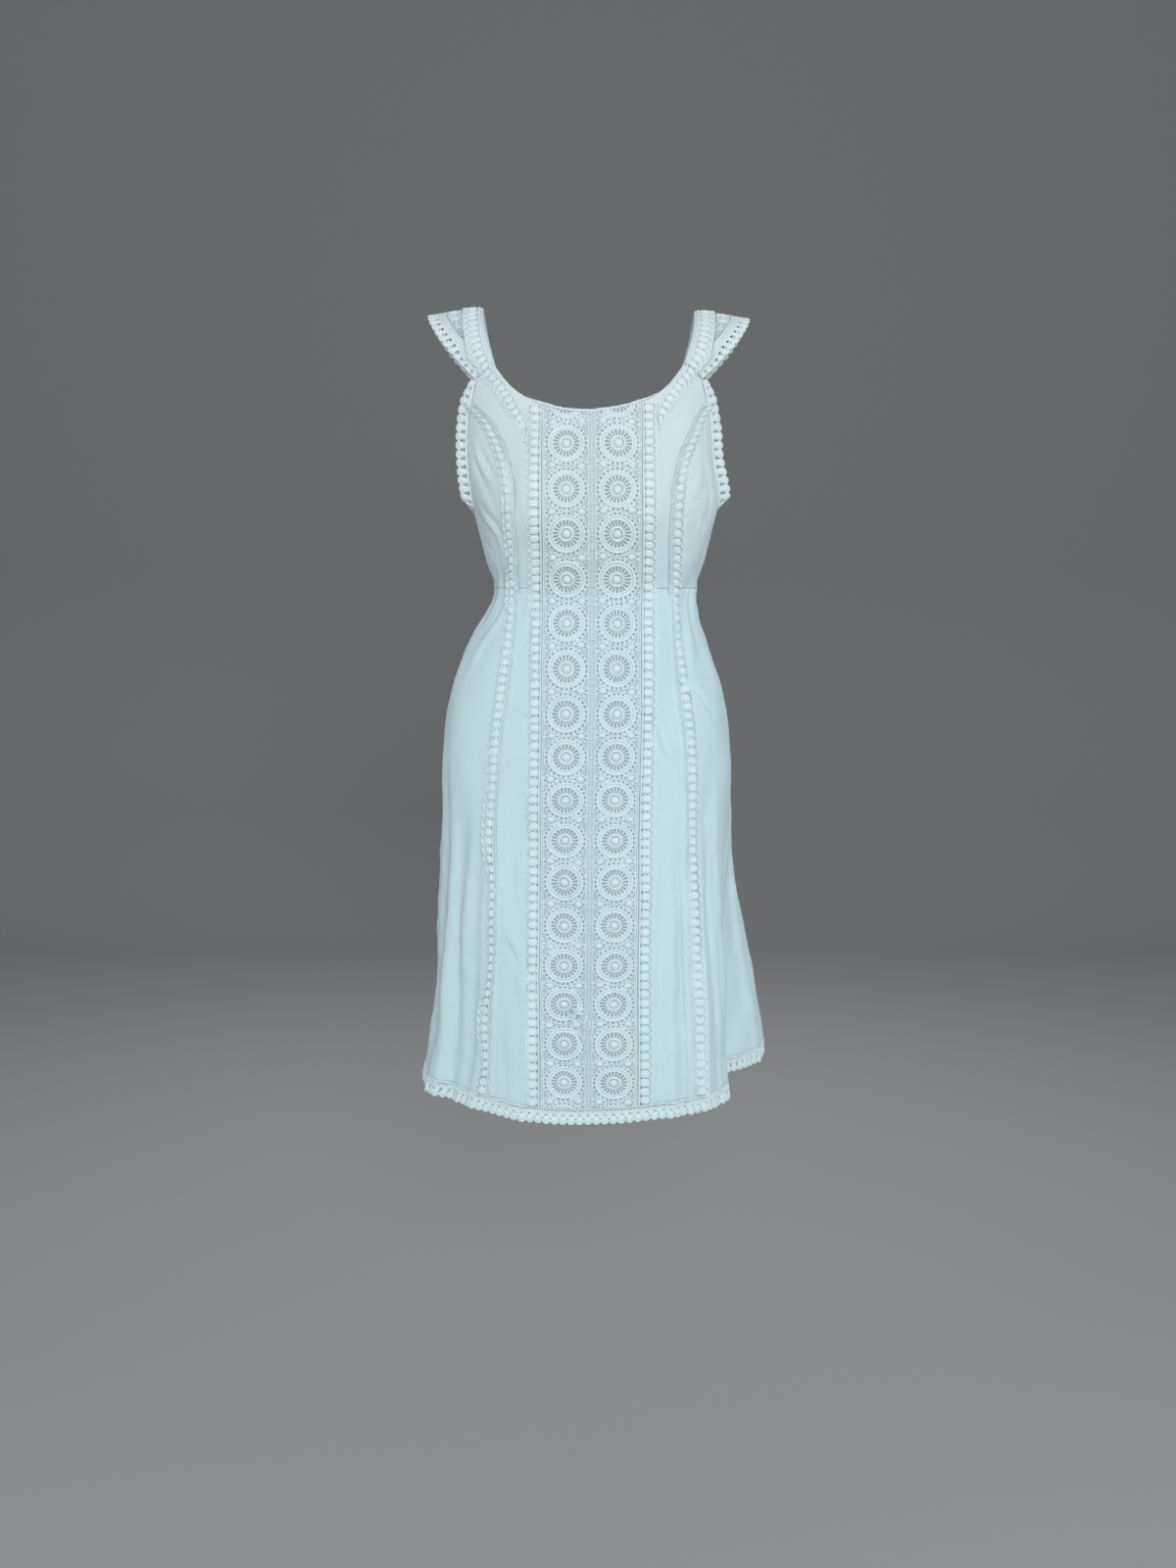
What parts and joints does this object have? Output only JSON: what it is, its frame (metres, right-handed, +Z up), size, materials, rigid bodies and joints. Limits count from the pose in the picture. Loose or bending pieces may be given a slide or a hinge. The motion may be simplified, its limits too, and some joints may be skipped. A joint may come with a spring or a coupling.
{
  "type": "wedding dress",
  "caption": "Knee-length sleeveless wedding dress with princess seams, a wheel-lace front panel, crochet trims, lace shoulder caps and a scalloped hem, in its worn shape.",
  "frame": {"origin": "midway between the shoulder straps, level with their tops, where the wearer's shoulders or a hanger carry the dress", "axes": "+Z up along the worn dress, -Y towards the dress's front, +X towards the wearer's left"},
  "size_m": [0.4144, 0.3095, 0.9106],
  "materials": {
    "cotton": "matt plain-woven white cotton, soft hand",
    "lace": "matt raised white wheel lace of cotton thread",
    "trim": "matt white crochet trim of cotton thread",
    "zip_tape": "flat woven white zip tape",
    "zip_metal": "white enamel"
  },
  "bodies": {
    "dress": {"armhole_trim_left": "trim", "armhole_trim_right": "trim", "back_centre_left_bodice": "cotton", "back_centre_left_skirt": "cotton", "back_centre_right_bodice": "cotton", "back_centre_right_skirt": "cotton", "back_outer_left_bodice": "cotton", "back_outer_left_skirt": "cotton", "back_outer_right_bodice": "cotton", "back_outer_right_skirt": "cotton", "cap_edging_left": "trim", "cap_edging_right": "trim", "cap_lace_left": "lace", "cap_lace_right": "lace", "front_centre_bodice": "cotton", "front_centre_skirt": "cotton", "front_side_left_bodice": "cotton", "front_side_left_skirt": "cotton", "front_side_right_bodice": "cotton", "front_side_right_skirt": "cotton", "hem_trim_back": "trim", "hem_trim_front": "trim", "lace_panel_bodice": "lace", "lace_panel_skirt": "lace", "lace_trim_left": "trim", "lace_trim_right": "trim", "neck_binding": "trim", "neck_trim_left": "trim", "neck_trim_right": "trim", "princess_trim_left_bodice": "trim", "princess_trim_left_skirt": "trim", "princess_trim_right_bodice": "trim", "princess_trim_right_skirt": "trim", "side_front_left_bodice": "cotton", "side_front_left_skirt": "cotton", "side_front_right_bodice": "cotton", "side_front_right_skirt": "cotton", "strap_left": "cotton", "strap_right": "cotton", "zip_slider": "zip_metal", "zip_tape": "zip_tape"},
    "zip_pull": {"zip_pull": "zip_metal"}
  },
  "joints": [
    {"name": "zip_pull_hinge", "type": "hinge", "parent": "dress", "child": "zip_pull", "pos_m": [0, 0.10106, -0.11839], "axis": [1, 0, 0], "range_deg": [0, 165]}
  ]
}
